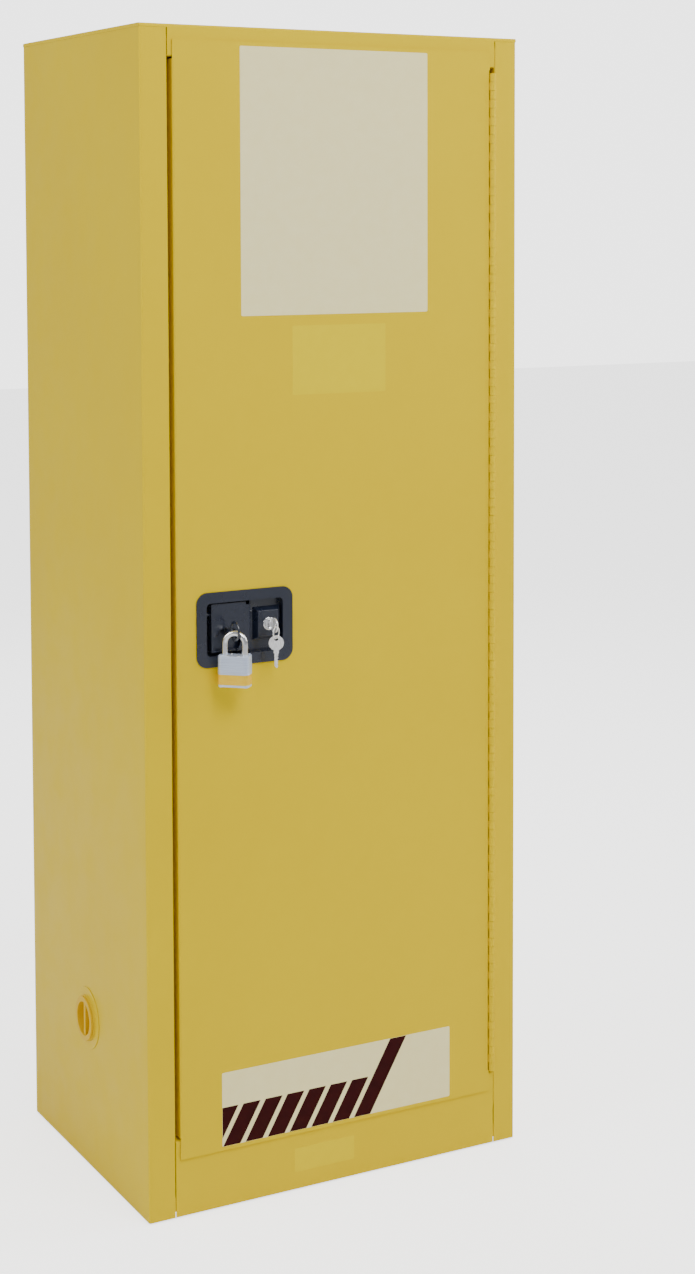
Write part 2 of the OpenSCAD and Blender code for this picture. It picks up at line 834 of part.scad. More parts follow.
// Ears on the pin and the nose that works the latch cam
module crank() {
    nose_y = cam_y + 1;
    x = cam_x - drive_r;
    for (x0 = [paddle_l, paddle_r - ear_t])
        bar_x(x0, x0 + ear_t, pivot_y, pivot_z, 5);
    bar_x(x - 1.5, x + 1.5, pivot_y, pivot_z, 5);
    block([x - 1.5, paddle_y + 1, pivot_z - 5], [x + 1.5, pivot_y + 3, pivot_z + 3]);
    block([x - 1.5, pivot_y, pivot_z - 2.5], [x + 1.5, nose_y, pivot_z + 2.5]);
}
module padlock_eye() {
    base = paddle_y + paddle_d - paddle_wall;
    y = eye_y - 1;
    color("silver") difference() {
        union() {
            bar_x(eye_x - eye_t / 2, eye_x + eye_t / 2, y, eye_z, eye_r);
            block([eye_x - eye_t / 2, y, eye_z - 12], [eye_x + eye_t / 2, base, eye_z - 1]);
        }
        bar_x(eye_x - eye_t, eye_x + eye_t, y, eye_z, eye_hole);
    }
}

// ---- Latch ----

module latch_cam() {
    color("lightgray") {
        difference() {
            union() {
                bar_y(cam_y, cam_y + cam_t, cam_x, cam_z, 12);
                for (a = [180 - half_swing, -half_swing, 270 - half_swing])
                    cam_arm(a);
            }
            bar_y(cam_y - 1, cam_y + cam_t + 1, cam_x, cam_z, cam_bore + running);
            translate([cam_x, 0, cam_z]) rotate([0, -(180 - half_swing), 0])
                block([drive_r - 4.2, cam_y - 1, -5], [drive_r + 3, cam_y + cam_t + 1, 5]);
        }
        for (a = [180 - half_swing, -half_swing, 270 - half_swing])
            bar_y(cam_y + 1, tab_y + tab_t + 0.4,
                cam_x + cam_pin_r * cos(a), cam_z + cam_pin_r * sin(a), cam_pin);
    }
}
module cam_arm(a) {
    half = a == 180 - half_swing ? 8.5 : 6;
    translate([cam_x, 0, cam_z]) rotate([0, -a, 0]) {
        block([0, cam_y, -half], [cam_pin_r, cam_y + cam_t, half]);
        bar_y(cam_y, cam_y + cam_t, cam_pin_r, 0, cam_r - cam_pin_r - 1);
    }
}

// Rod with a slotted tab that rides on one cam pin; up is 1 or -1
module latch_rod(x, pin_z, up, tip) {
    slot = cam_pin + loose;
    tab_half = 14;
    z_tab = pin_z + up * (slot + 4);
    difference() {
        union() {
            bar_z(min(z_tab, tip - up * rod_r), max(z_tab, tip - up * rod_r), x, rod_y, rod_r);
            translate([x, rod_y, tip - up * rod_r]) sphere(rod_r);
            block([x - tab_half, tab_y, min(z_tab, pin_z - up * 6.5) - (up > 0 ? 0 : 8)],
                [x + tab_half - 4, tab_y + tab_t, max(z_tab, pin_z - up * 6.5) + (up > 0 ? 8 : 0)]);
        }
        block([x - 7, tab_y - 1, pin_z - slot], [x + 7, rod_y + rod_r + 1, pin_z + slot]);
    }
}
module upper_rod() {
    color("silver") latch_rod(cam_x - rod_dx, cam_z + pin_rise, 1, box_t + bolt_throw);
}
module lower_rod() {
    color("silver") latch_rod(cam_x + rod_dx, cam_z - pin_rise, -1, box_b - bolt_throw);
}
module centre_bolt() {
    pin_x0 = cam_x - pin_rise;
    half = bolt_h / 2;
    slot = cam_pin + loose;
    color("silver") difference() {
        block([open_l + 0.4, tab_y, bolt_z - half], [pin_x0 + 8, tab_y + bolt_t, bolt_z + half]);
        block([pin_x0 - slot, tab_y - 1, cam_z - cam_pin_r - 4],
            [pin_x0 + slot, tab_y + bolt_t + 1, cam_z - pin_run + 5]);
    }
}

// ---- Key lock ----

module lock_plug() {
    color("gainsboro") difference() {
        union() {
            bar_y(plug_y + 1, pan_back - 1, plug_x, plug_z, plug_r);
            bar_y(plug_y, boss_y - 0.2, plug_x, plug_z, ring_r);
        }
        block([plug_x - 1.2, plug_y - 1, plug_z - 4.5], [plug_x + 1.2, plug_y + 20, plug_z + 4.5]);
    }
}
module lock_tongue() {
    y0 = pan_back - 1;
    color("lightgray") {
        block([plug_x - 5, y0, plug_z - 24], [plug_x + 5, y0 + 2, plug_z + 5]);
        bar_y(y0 + 1, y0 + 4, plug_x, plug_z, 4);
    }
}

// Key with a round bow at the origin, its blade along -Z, its plane X and Z
module key_blank() {
    shoulder = -key_bow - blade_l;
    rotate([90, 0, 0]) translate([0, 0, -key_t / 2]) {
        linear_extrude(key_t) difference() {
            union() {
                circle(key_bow);
                translate([-3.6, -key_bow - 4]) square([7.2, 6]);
                translate([-2.6, shoulder]) square([5.2, blade_l]);
            }
            translate([0, key_bow - key_hole - hole_rim]) circle(key_hole);
            for (i = [0 : 3])
                translate([2.6, -key_bow - 9 - i * 3.6]) rotate(45) square(1.7 + (i % 2) * 0.6, center = true);
        }
        linear_extrude(key_t) polygon([[-2.6, shoulder + 1], [2.6, shoulder + 1], [2.6, shoulder],
            [0.8, shoulder - 3], [-2.6, shoulder]]);
    }
}
module inserted_key() {
    color("gainsboro") {
        translate([plug_x, key_y, plug_z]) rotate([90, 0, 90]) translate([0, 0, -key_t / 2])
            linear_extrude(key_t) difference() {
                circle(key_bow);
                translate([key_hole + hole_rim - key_bow, 0]) circle(key_hole);
            }
        block([plug_x - key_t / 2, key_y + key_bow - 2, plug_z - 3.6],
            [plug_x + key_t / 2, plug_y + 14, plug_z + 3.6]);
    }
}
module key_ring() {
    color("silver") translate([plug_x, ring_hole_y, link_z]) rotate([0, 0, link_yaw]) rotate([90, 0, 0])
        rotate_extrude() translate([link_r, 0]) circle(link_wire, $fn = 16);
}
module spare_key() {
    color("gainsboro") translate([plug_x, ring_hole_y, spare_z - key_bow + key_hole + hole_rim])
        rotate([0, 0, -spare_yaw]) key_blank();
}

// ---- Padlock ----

// Places things in the frame of the hanging padlock
module at_padlock() {
    translate([eye_x, eye_y, 0]) rotate([0, 0, -lock_yaw]) children();
}
module shackle() {
    color("gainsboro") at_padlock() {
        translate([0, 0, arch_z]) rotate([90, 0, 0]) rotate_extrude(angle = 180)
            translate([arch_r, 0]) circle(shackle_r);
        bar_z(lock_top - toe_depth, arch_z, arch_r, 0, shackle_r);
        bar_z(lock_top - heel_depth, arch_z, -arch_r, 0, shackle_r);
    }
}
module body_slab(z0, z1, inset) {
    translate([0, 0, z0]) linear_extrude(z1 - z0)
        round_rect(lock_w - 2 * inset, lock_d - 2 * inset, plan_corner - inset);
}
module rivet_holes(z0, z1, r) {
    for (sx = [-1, 1], sy = [-1, 1])
        bar_z(z0, z1, sx * (lock_w / 2 - 4.5), sy * (lock_d / 2 - 4.5), r);
}
module padlock_layers() {
    z0 = lock_top - lock_h + base_plate_h + bumper_h;
    step = (lock_top - z0) / layers;
    bore = shackle_r + 0.15;
    color("lightsteelblue") at_padlock() difference() {
        union() {
            body_slab(z0, lock_top, 0.7);
            for (i = [0 : layers - 1])
                body_slab(z0 + i * step + 0.25, z0 + (i + 1) * step - 0.15, 0);
        }
        bar_z(lock_top - heel_depth - 1, lock_top + 1, -arch_r, 0, bore);
        bar_z(lock_top - toe_depth - 2, lock_top + 1, arch_r, 0, bore);
        rivet_holes(z0 - 1, lock_top + 1, 1.6);
    }
}
module padlock_bumper() {
    z0 = lock_top - lock_h + base_plate_h;
    color("gold") at_padlock() difference() {
        body_slab(z0, z0 + bumper_h, 0.1);
        rivet_holes(z0 - 1, z0 + bumper_h + 1, 1.6);
    }
}
module padlock_base() {
    z0 = lock_top - lock_h;
    color("lightsteelblue") at_padlock() difference() {
        body_slab(z0, z0 + base_plate_h, 0.3);
        rivet_holes(z0 - 1, z0 + base_plate_h + 1, 1.6);
        bar_z(z0 - 1, z0 + 1.5, 6, 0, 5.5);
        block([-1, -4.5, z0 - 1], [1, 4.5, z0 + 2]);
    }
}
module padlock_rivets() {
    color("silver") at_padlock() {
        rivet_holes(lock_top - lock_h - 0.8, lock_top + 1.2, 1.6);
        rivet_holes(lock_top, lock_top + 1.2, 2.6);
        rivet_holes(lock_top - lock_h - 0.8, lock_top - lock_h, 2.6);
    }
}

// ---- Labels ----

module label(x, z, w, h, y) {
    face_plate(left + x, z, y - label_t, y, w, h, 2);
}
module sign_label() {
    color("ivory") label(label_x, cab_h - sign_drop, sign_w, sign_h, face_y);
}
module data_label() {
    color("khaki") label(label_x + 4.5, cab_h - sign_drop - 248.5, data_w, data_h, face_y);
}
module stripe_label() {
    color("ivory") label(label_x, door_b + 58.5, stripe_w, stripe_h, face_y);
}
module sill_label() {
    color("khaki") label(label_x - 22.5, skirt_z + 42.5, 96, 35, front);
}

left_side_panel();
right_side_panel();
top_panel();
back_panel();
base_pan();
front_sill();
left_liner();
right_liner();
back_liner();
top_liner();
sump_pan();
shelf_standards();
shelf_brackets();
shelf_low();
shelf_middle();
shelf_high();
levelling_feet();
foot_nuts();
left_vent_socket();
left_flame_screen();
left_bung();
right_vent_socket();
right_flame_screen();
right_bung();
earthing_stud();
earthing_nuts();
hinge_frame_leaf();
hinge_pin();
strike_plates();
sill_label();
door_outer_panel();
door_inner_panel();
hinge_door_leaf();
handle_pan();
lock_boss();
pivot_pin();
paddle_spring();
cam_stud();
rod_guides();
pan_rivets();
sign_label();
data_label();
stripe_label();
paddle();
padlock_eye();
latch_cam();
upper_rod();
lower_rod();
centre_bolt();
lock_plug();
lock_tongue();
inserted_key();
key_ring();
spare_key();
shackle();
padlock_layers();
padlock_bumper();
padlock_base();
padlock_rivets();
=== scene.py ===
import math

import bmesh
import bpy
from mathutils import Matrix, Vector


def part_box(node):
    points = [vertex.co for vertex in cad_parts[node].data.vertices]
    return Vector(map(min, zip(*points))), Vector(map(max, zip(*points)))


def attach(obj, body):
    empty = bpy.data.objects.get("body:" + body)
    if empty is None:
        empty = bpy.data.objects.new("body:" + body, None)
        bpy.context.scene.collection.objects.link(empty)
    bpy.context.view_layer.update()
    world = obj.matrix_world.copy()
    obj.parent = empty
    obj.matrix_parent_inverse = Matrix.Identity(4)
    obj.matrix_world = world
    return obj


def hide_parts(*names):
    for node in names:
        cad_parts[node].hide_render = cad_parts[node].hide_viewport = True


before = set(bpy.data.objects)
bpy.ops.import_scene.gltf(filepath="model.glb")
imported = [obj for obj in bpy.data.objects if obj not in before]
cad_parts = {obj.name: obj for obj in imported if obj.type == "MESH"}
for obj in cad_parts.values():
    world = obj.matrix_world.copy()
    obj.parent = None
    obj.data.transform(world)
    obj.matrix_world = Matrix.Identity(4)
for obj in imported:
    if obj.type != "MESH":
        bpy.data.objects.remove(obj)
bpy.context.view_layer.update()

MM = 0.001
AMBIENT = 0.40
BACKDROP = 3.2
FLOOR_GLOW = 2.2


# ---------------------------------------------------------------- places

def box(node):
    low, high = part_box(node)
    return Vector(low), Vector(high)


PAN_LOW, PAN_HIGH = box("handle_pan")
PADDLE_LOW, PADDLE_HIGH = box("paddle")
BOSS_LOW, BOSS_HIGH = box("lock_boss")
PLUG_LOW, PLUG_HIGH = box("lock_plug")
DOOR_LOW, DOOR_HIGH = box("door_outer_panel")
FACE_Y = DOOR_LOW.y
BEZEL_T = FACE_Y - PAN_LOW.y
STRIPE_LOW, STRIPE_HIGH = box("stripe_label")


# ---------------------------------------------------------------- meshes

def add_object(name, verts, faces, material, smooth=True):
    mesh = bpy.data.meshes.new(name)
    mesh.from_pydata([tuple(v) for v in verts], [], faces)
    work = bmesh.new()
    work.from_mesh(mesh)
    bmesh.ops.recalc_face_normals(work, faces=work.faces)
    work.to_mesh(mesh)
    work.free()
    mesh.materials.append(material)
    for face in mesh.polygons:
        face.use_smooth = smooth
    obj = bpy.data.objects.new(name, mesh)
    bpy.context.scene.collection.objects.link(obj)
    return obj


def bevelled(obj, width, segments=3, angle=35):
    mod = obj.modifiers.new("bevel", "BEVEL")
    mod.width = width
    mod.segments = segments
    mod.limit_method = "ANGLE"
    mod.angle_limit = math.radians(angle)
    mod.harden_normals = True
    return obj


def rounded_loop(w, h, r, steps=6):
    """Points of a rectangle with round corners, in two axes, centred."""
    r = max(min(r, w / 2, h / 2), 1e-6)
    points = []
    for k, (sx, sz) in enumerate(((1, 1), (-1, 1), (-1, -1), (1, -1))):
        for i in range(steps + 1):
            a = math.pi / 2 * (k + i / steps)
            points.append((sx * (w / 2 - r) + r * math.cos(a), sz * (h / 2 - r) + r * math.sin(a)))
    return points


def lofted(name, rings, material, caps=(True, True), smooth=True):
    """Skin through rings of points that all have the same count."""
    count = len(rings[0])
    verts = [p for ring in rings for p in ring]
    faces = []
    for k in range(len(rings) - 1):
        for i in range(count):
            j = (i + 1) % count
            faces.append((k * count + i, k * count + j, (k + 1) * count + j, (k + 1) * count + i))
    if caps[0]:
        faces.append(tuple(range(count)))
    if caps[1]:
        faces.append(tuple((len(rings) - 1) * count + i for i in range(count)))
    return add_object(name, verts, faces, material, smooth)


def front_ring(x, y, z, w, h, r, steps=6):
    return [(x + u, y, z + v) for u, v in rounded_loop(w, h, r, steps)]


def block(name, low, high, material, bevel=0.0, segments=2):
    verts = [(x, y, z) for x in (low[0], high[0]) for y in (low[1], high[1]) for z in (low[2], high[2])]
    faces = [(0, 1, 3, 2), (4, 6, 7, 5), (0, 4, 5, 1), (2, 3, 7, 6), (0, 2, 6, 4), (1, 5, 7, 3)]
    obj = add_object(name, verts, faces, material)
    if bevel:
        bevelled(obj, bevel, segments)
    return obj


def turned(name, profile, origin, axis, material, steps=64, closed=False):
    """Surface of revolution: profile is a list of (radius, along the axis)."""
    axis = Vector(axis).normalized()
    side = axis.orthogonal().normalized()
    up = axis.cross(side)
    verts = []
    for r, t in profile:
        for i in range(steps):
            a = 2 * math.pi * i / steps
            verts.append(Vector(origin) + axis * t + (side * math.cos(a) + up * math.sin(a)) * r)
    faces = []
    rows = len(profile)
    for k in range(rows if closed else rows - 1):
        n = (k + 1) % rows
        for i in range(steps):
            j = (i + 1) % steps
            faces.append((k * steps + i, k * steps + j, n * steps + j, n * steps + i))
    if not closed:
        faces.append(tuple(range(steps)))
        faces.append(tuple((rows - 1) * steps + i for i in range(steps)))
    return add_object(name, verts, faces, material)


def swept(name, path, radius, material, sides=20, closed=False):
    """Round bar along a list of points."""
    rings = []
    count = len(path)
    normal = None
    for i, p in enumerate(path):
        before = path[i - 1] if i or closed else p
        after = path[(i + 1) % count] if i < count - 1 or closed else p
        along = (after - before).normalized()
        if normal is None:
            normal = along.orthogonal().normalized()
        normal = (normal - along * normal.dot(along)).normalized()
        other = along.cross(normal)
        rings.append([p + (normal * math.cos(2 * math.pi * k / sides)
                           + other * math.sin(2 * math.pi * k / sides)) * radius for k in range(sides)])
    if closed:
        rings.append(rings[0])
    obj = lofted(name, rings, material, caps=(not closed, not closed))
    if closed:
        work = bmesh.new()
        work.from_mesh(obj.data)
        bmesh.ops.remove_doubles(work, verts=work.verts, dist=1e-7)
        work.to_mesh(obj.data)
        work.free()
    return obj


def joined(name, *objs):
    """One piece made of several, with their modifiers applied."""
    depsgraph = bpy.context.evaluated_depsgraph_get()
    verts, faces, marks, materials = [], [], [], []
    for obj in objs:
        mesh = obj.evaluated_get(depsgraph).to_mesh()
        base = len(verts)
        verts += [obj.matrix_world @ v.co for v in mesh.vertices]
        for face in mesh.polygons:
            material = obj.data.materials[face.material_index]
            if material not in materials:
                materials.append(material)
            faces.append([base + i for i in face.vertices])
            marks.append((materials.index(material), face.use_smooth))
        obj.evaluated_get(depsgraph).to_mesh_clear()
    mesh = bpy.data.meshes.new(name)
    mesh.from_pydata([tuple(v) for v in verts], [], faces)
    for material in materials:
        mesh.materials.append(material)
    for face, (index, smooth) in zip(mesh.polygons, marks):
        face.material_index = index
        face.use_smooth = smooth
    for obj in objs:
        bpy.data.objects.remove(obj)
    made = bpy.data.objects.new(name, mesh)
    bpy.context.scene.collection.objects.link(made)
    mesh.set_sharp_from_angle(angle=math.radians(38))
    return made


def eased(node, body, slot, width, segments=2, angle=32):
    """Copy of a CAD part with its flats merged and its sharp edges rounded over."""
    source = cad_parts[node]
    work = bmesh.new()
    work.from_mesh(source.data)
    bmesh.ops.transform(work, matrix=source.matrix_world, verts=work.verts)
    bmesh.ops.remove_doubles(work, verts=work.verts, dist=2e-6)
    bmesh.ops.dissolve_limit(work, angle_limit=math.radians(0.4), verts=work.verts, edges=work.edges)
    verts = [v.co.copy() for v in work.verts]
    faces = [[v.index for v in face.verts] for face in work.faces]
    work.free()
    obj = add_object(node + "_eased", verts, faces, source.data.materials[0])
    bevelled(obj, width, segments, angle)
    return stands_for(obj, body, slot, node)


def stands_for(obj, body, slot, *nodes):
    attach(obj, body)
    if nodes:
        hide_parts(*nodes)
    return obj


# ---------------------------------------------------------------- materials

def base_material(name, colour, roughness, metallic=0.0, coat=0.0, specular=0.5, tint=(1, 1, 1)):
    material = bpy.data.materials.new(name)
    material.use_nodes = True
    shader = material.node_tree.nodes["Principled BSDF"]
    shader.inputs["Base Color"].default_value = (*colour, 1)
    shader.inputs["Roughness"].default_value = roughness
    shader.inputs["Metallic"].default_value = metallic
    shader.inputs["Coat Weight"].default_value = coat
    shader.inputs["Specular IOR Level"].default_value = specular
    shader.inputs["Specular Tint"].default_value = (*tint, 1)
    shader.inputs["Coat Roughness"].default_value = 0.15
    return material, material.node_tree.nodes, material.node_tree.links, shader


def coordinates(nodes, links, scale=(1, 1, 1)):
    where = nodes.new("ShaderNodeTexCoord")
    mapping = nodes.new("ShaderNodeMapping")
    mapping.inputs["Scale"].default_value = scale
    links.new(where.outputs["Object"], mapping.inputs["Vector"])
    return mapping.outputs["Vector"]


def noise(nodes, links, vector, scale, detail=3.0):
    texture = nodes.new("ShaderNodeTexNoise")
    texture.inputs["Scale"].default_value = scale
    texture.inputs["Detail"].default_value = detail
    links.new(vector, texture.inputs["Vector"])
    return texture.outputs["Fac"]


def remapped(nodes, links, value, low, high, start=0.3, end=0.7):
    ramp = nodes.new("ShaderNodeMapRange")
    ramp.inputs["From Min"].default_value = start
    ramp.inputs["From Max"].default_value = end
    ramp.inputs["To Min"].default_value = low
    ramp.inputs["To Max"].default_value = high
    links.new(value, ramp.inputs["Value"])
    return ramp.outputs["Result"]


def mixed(nodes, links, factor, first, second):
    mix = nodes.new("ShaderNodeMix")
    mix.data_type = "RGBA"
    mix.inputs["A"].default_value = (*first, 1)
    mix.inputs["B"].default_value = (*second, 1)
    links.new(factor, mix.inputs["Factor"])
    return mix.outputs["Result"]


def bumped(nodes, links, shader, height, strength, distance):
    bump = nodes.new("ShaderNodeBump")
    bump.inputs["Strength"].default_value = strength
    bump.inputs["Distance"].default_value = distance
    links.new(height, bump.inputs["Height"])
    links.new(bump.outputs["Normal"], shader.inputs["Normal"])


def powder_coat(name, light, dark, roughness, orange_peel=0.12, coat=0.25, specular=0.5, tint=(1, 1, 1)):
    """Stoved powder: slight tone drift over each sheet and a fine orange peel."""
    material, nodes, links, shader = base_material(name, light, roughness, 0.0, coat, specular, tint)
    vector = coordinates(nodes, links)
    drift = remapped(nodes, links, noise(nodes, links, vector, 3.5, 4.0), 0.0, 1.0)
    links.new(mixed(nodes, links, drift, light, dark), shader.inputs["Base Color"])
    patches = noise(nodes, links, vector, 22.0, 5.0)
    links.new(remapped(nodes, links, patches, roughness - 0.05, roughness + 0.07), shader.inputs["Roughness"])
    bumped(nodes, links, shader, noise(nodes, links, vector, 420.0, 2.0), orange_peel, 0.0006)
    return material


def zinc(name, light, dark, roughness, metallic=1.0):
    """Zinc plate: soft spangle in the tone and fine drawn lines."""
    material, nodes, links, shader = base_material(name, light, roughness, metallic)
    vector = coordinates(nodes, links)
    spangle = nodes.new("ShaderNodeTexVoronoi")
    spangle.inputs["Scale"].default_value = 90.0
    links.new(vector, spangle.inputs["Vector"])
    tone = remapped(nodes, links, spangle.outputs["Distance"], 0.0, 1.0, 0.0, 0.6)
    links.new(mixed(nodes, links, tone, light, dark), shader.inputs["Base Color"])
    lines = noise(nodes, links, coordinates(nodes, links, (900, 60, 60)), 1.0, 2.0)
    links.new(remapped(nodes, links, lines, roughness - 0.06, roughness + 0.1), shader.inputs["Roughness"])
    return material


def brushed(name, light, dark, roughness, across=(30, 30, 1400), metallic=1.0, depth=0.15):
    """Metal with fine lines that run across the given axis."""
    material, nodes, links, shader = base_material(name, light, roughness, metallic)
    lines = noise(nodes, links, coordinates(nodes, links, across), 1.0, 3.0)
    links.new(mixed(nodes, links, remapped(nodes, links, lines, 0.0, 1.0), light, dark),
              shader.inputs["Base Color"])
    links.new(remapped(nodes, links, lines, roughness - 0.05, roughness + 0.12), shader.inputs["Roughness"])
    bumped(nodes, links, shader, lines, depth, 0.0002)
    return material


def film(name, light, dark, roughness=0.42, specular=0.3, tint=(1, 1, 1)):
    """Printed vinyl film: faint mottling and a very slight ripple."""
    material, nodes, links, shader = base_material(name, light, roughness, 0.0, 0.0, specular, tint)
    vector = coordinates(nodes, links)
    mottle = remapped(nodes, links, noise(nodes, links, vector, 60.0, 5.0), 0.0, 1.0)
    links.new(mixed(nodes, links, mottle, light, dark), shader.inputs["Base Color"])
    bumped(nodes, links, shader, noise(nodes, links, vector, 35.0, 2.0), 0.05, 0.0005)
    return material


GOLDEN = (1.0, 0.73, 0.0)
YELLOW = powder_coat("yellow_powder", (0.80, 0.58, 0.0), (0.78, 0.555, 0.0), 0.34, 0.10, 0.0, 0.22, GOLDEN)
YELLOW_IN = powder_coat("yellow_inside", (0.76, 0.55, 0.0), (0.73, 0.52, 0.0), 0.42, 0.12, 0.0, 0.2, GOLDEN)
BUNG = powder_coat("bung_paint", (0.76, 0.49, 0.0), (0.70, 0.44, 0.0), 0.38, 0.12, 0.0, 0.3, GOLDEN)
BLACK = powder_coat("handle_black", (0.014, 0.019, 0.037), (0.009, 0.013, 0.026), 0.28, 0.12, 0.6)
RUBBER = powder_coat("foot_plastic", (0.022, 0.022, 0.024), (0.016, 0.016, 0.018), 0.62, 0.2, 0.0)
ZINC = zinc("zinc_plate", (0.66, 0.68, 0.71), (0.48, 0.50, 0.53), 0.36)
STEEL = brushed("drawn_steel", (0.60, 0.61, 0.63), (0.44, 0.45, 0.47), 0.30)
CHROME = brushed("chrome", (0.90, 0.91, 0.93), (0.76, 0.77, 0.80), 0.10, (60, 60, 60), depth=0.03)
KEY_STEEL = brushed("nickel_key", (0.97, 0.97, 0.98), (0.88, 0.89, 0.91), 0.26, (300, 300, 40), 0.5, 0.06)
LAMINATE = brushed("lock_laminate", (0.74, 0.83, 0.99), (0.58, 0.66, 0.82), 0.42, (30, 30, 1400), 0.55, 0.25)
BRASS = brushed("brass", (0.86, 0.62, 0.20), (0.70, 0.48, 0.14), 0.32, (40, 40, 600))
BRASS_BAND = brushed("brass_band", (1.0, 0.66, 0.03), (0.94, 0.57, 0.02), 0.36, (60, 60, 300), 0.4, 0.08)
CREAM = film("label_cream", (1.0, 0.91, 0.48), (0.98, 0.88, 0.44), 0.42, 0.2, (1.0, 0.9, 0.5))
LABEL_YELLOW = film("label_yellow", (0.86, 0.66, 0.0), (0.84, 0.64, 0.0), 0.26, 0.35, GOLDEN)
STRIPE_BROWN = film("stripe_brown", (0.040, 0.001, 0.002), (0.030, 0.0006, 0.0012), 0.5, 0.1)

NODE_MATERIALS = {
    YELLOW: ("left_side_panel", "right_side_panel", "top_panel", "back_panel", "base_pan", "front_sill",
             "door_outer_panel", "left_vent_socket", "right_vent_socket", "hinge_frame_leaf",
             "hinge_door_leaf"),
    YELLOW_IN: ("left_liner", "right_liner", "back_liner", "top_liner", "sump_pan", "shelf_standards",
                "door_inner_panel"),
    BUNG: ("left_bung", "right_bung"),
    ZINC: ("shelf_brackets", "shelf_low", "shelf_middle", "shelf_high", "strike_plates", "rod_guides",
           "foot_nuts", "left_flame_screen", "right_flame_screen", "latch_cam"),
    STEEL: ("upper_rod", "lower_rod", "centre_bolt", "cam_stud", "lock_tongue", "paddle_spring",
            "earthing_nuts", "pan_rivets", "hinge_pin"),
    BLACK: ("handle_pan", "lock_boss", "paddle", "padlock_eye", "pivot_pin"),
    RUBBER: ("levelling_feet",),
    BRASS: ("earthing_stud",),
    CHROME: ("lock_plug", "shackle"),
    KEY_STEEL: ("inserted_key", "spare_key", "key_ring"),
    LAMINATE: ("padlock_layers", "padlock_base", "padlock_rivets"),
    BRASS_BAND: ("padlock_bumper",),
    CREAM: ("sign_label", "stripe_label"),
    LABEL_YELLOW: ("data_label", "sill_label"),
}
for material, names in NODE_MATERIALS.items():
    for name in names:
        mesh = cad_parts[name].data
        for i in range(max(len(mesh.materials), 1)):
            if i < len(mesh.materials):
                mesh.materials[i] = material
            else:
                mesh.materials.append(material)


# ---------------------------------------------------------------- rounded-over parts

EASED = (
    ("handle_pan", "door", "black_paint", 0.9, 3),
    ("lock_boss", "door", "black_paint", 0.8, 3),
    ("paddle", "paddle", "black_paint", 0.9, 3),
    ("inserted_key", "key_plug", "chrome", 0.4, 2),
    ("spare_key", "spare_key", "chrome", 0.4, 2),
    ("padlock_layers", "padlock", "lock_steel", 0.12, 2),
    ("padlock_bumper", "padlock", "brass", 0.4, 2),
    ("padlock_base", "padlock", "lock_steel", 0.9, 3),
    ("padlock_rivets", "padlock", "lock_steel", 0.5, 3),
    ("top_panel", "cabinet", "yellow_paint", 0.5, 2),
    ("front_sill", "cabinet", "yellow_paint", 0.4, 2),
    ("left_side_panel", "cabinet", "yellow_paint", 0.4, 2),
    ("right_side_panel", "cabinet", "yellow_paint", 0.4, 2),
    ("door_outer_panel", "door", "yellow_paint", 0.55, 3),
    ("hinge_frame_leaf", "cabinet", "yellow_paint", 0.25, 2),
    ("hinge_door_leaf", "door", "yellow_paint", 0.25, 2),
    ("left_bung", "left_bung", "yellow_paint", 0.8, 3),
    ("right_bung", "right_bung", "yellow_paint", 0.8, 3),
    ("left_vent_socket", "cabinet", "yellow_paint", 0.6, 3),
    ("right_vent_socket", "cabinet", "yellow_paint", 0.6, 3),
    ("levelling_feet", "cabinet", "foot_plastic", 0.8, 3),
)
for node, body, slot, width, segments in EASED:
    eased(node, body, slot, width * MM, segments)


# ---------------------------------------------------------------- lock details

# Near-black colour for a plate that stands in for the deep keyhole slot: painted shade, not a material of the
# lock.
KEYHOLE_SHADE = powder_coat("keyhole_painted_shade", (0.010, 0.010, 0.011), (0.006, 0.006, 0.007), 0.55, 0.05, 0.0)


def plug_face():
    """Lock cylinder with a raised polished rim, a sunk face, and a thin dark plate on the face that is painted
    shade for the keyhole slot.
    """
    x, z = (PLUG_LOW.x + PLUG_HIGH.x) / 2, (PLUG_LOW.z + PLUG_HIGH.z) / 2
    rim, depth = (PLUG_HIGH.x - PLUG_LOW.x) / 2, PLUG_HIGH.y - PLUG_LOW.y
    collar = 2.8 * MM
    barrel = rim - 2.2 * MM
    profile = [(0.05 * MM, 1.2 * MM), (rim - 3.9 * MM, 1.2 * MM), (rim - 3.3 * MM, 1.0 * MM),
               (rim - 2.8 * MM, 0.35 * MM), (rim - 2.2 * MM, 0.02 * MM), (rim - 1.1 * MM, 0.0),
               (rim - 0.4 * MM, 0.25 * MM), (rim, 0.8 * MM), (rim, collar), (barrel, collar),
               (barrel, depth), (0.05 * MM, depth)]
    face = turned("plug_body", profile, (x, PLUG_LOW.y, z), (0, 1, 0), CHROME)
    # Thin near-black plate on the sunk face instead of a cut slot: painted shade of the keyhole.
    keyhole_shade = block("plug_keyhole_shade", (x - 1.5 * MM, PLUG_LOW.y + 1.1 * MM, z - 4.6 * MM),
                   (x + 1.5 * MM, PLUG_LOW.y + 1.35 * MM, z + 4.6 * MM), KEYHOLE_SHADE, 0.1 * MM)
    stands_for(joined("lock_plug_face", face, keyhole_shade), "key_plug", "chrome", "lock_plug")


def eye_ring():
    """Flat ring on a short stem that the padlock hangs from."""
    low, high = box("padlock_eye")
    r = 14.2 * MM
    x, y, z = (low.x + high.x) / 2, low.y + r, high.z - r
    half = 1.1 * MM
    ease = 0.5 * MM
    inner, outer = r - 3.2 * MM, r
    profile = [(inner + ease, -half), (outer - ease, -half), (outer, -half + ease), (outer, half - ease),
               (outer - ease, half), (inner + ease, half), (inner, half - ease), (inner, -half + ease)]
    ring = turned("eye_loop", profile, (x, y, z), (1, 0, 0), BLACK, closed=True)
    stem = block("eye_stem", (x - half, y + inner - 1 * MM, z - 11 * MM), (x + half, high.y, z - 1 * MM),
                 BLACK, 0.4 * MM)
    stands_for(joined("padlock_eye_ring", ring, stem), "paddle", "black_paint", "padlock_eye")


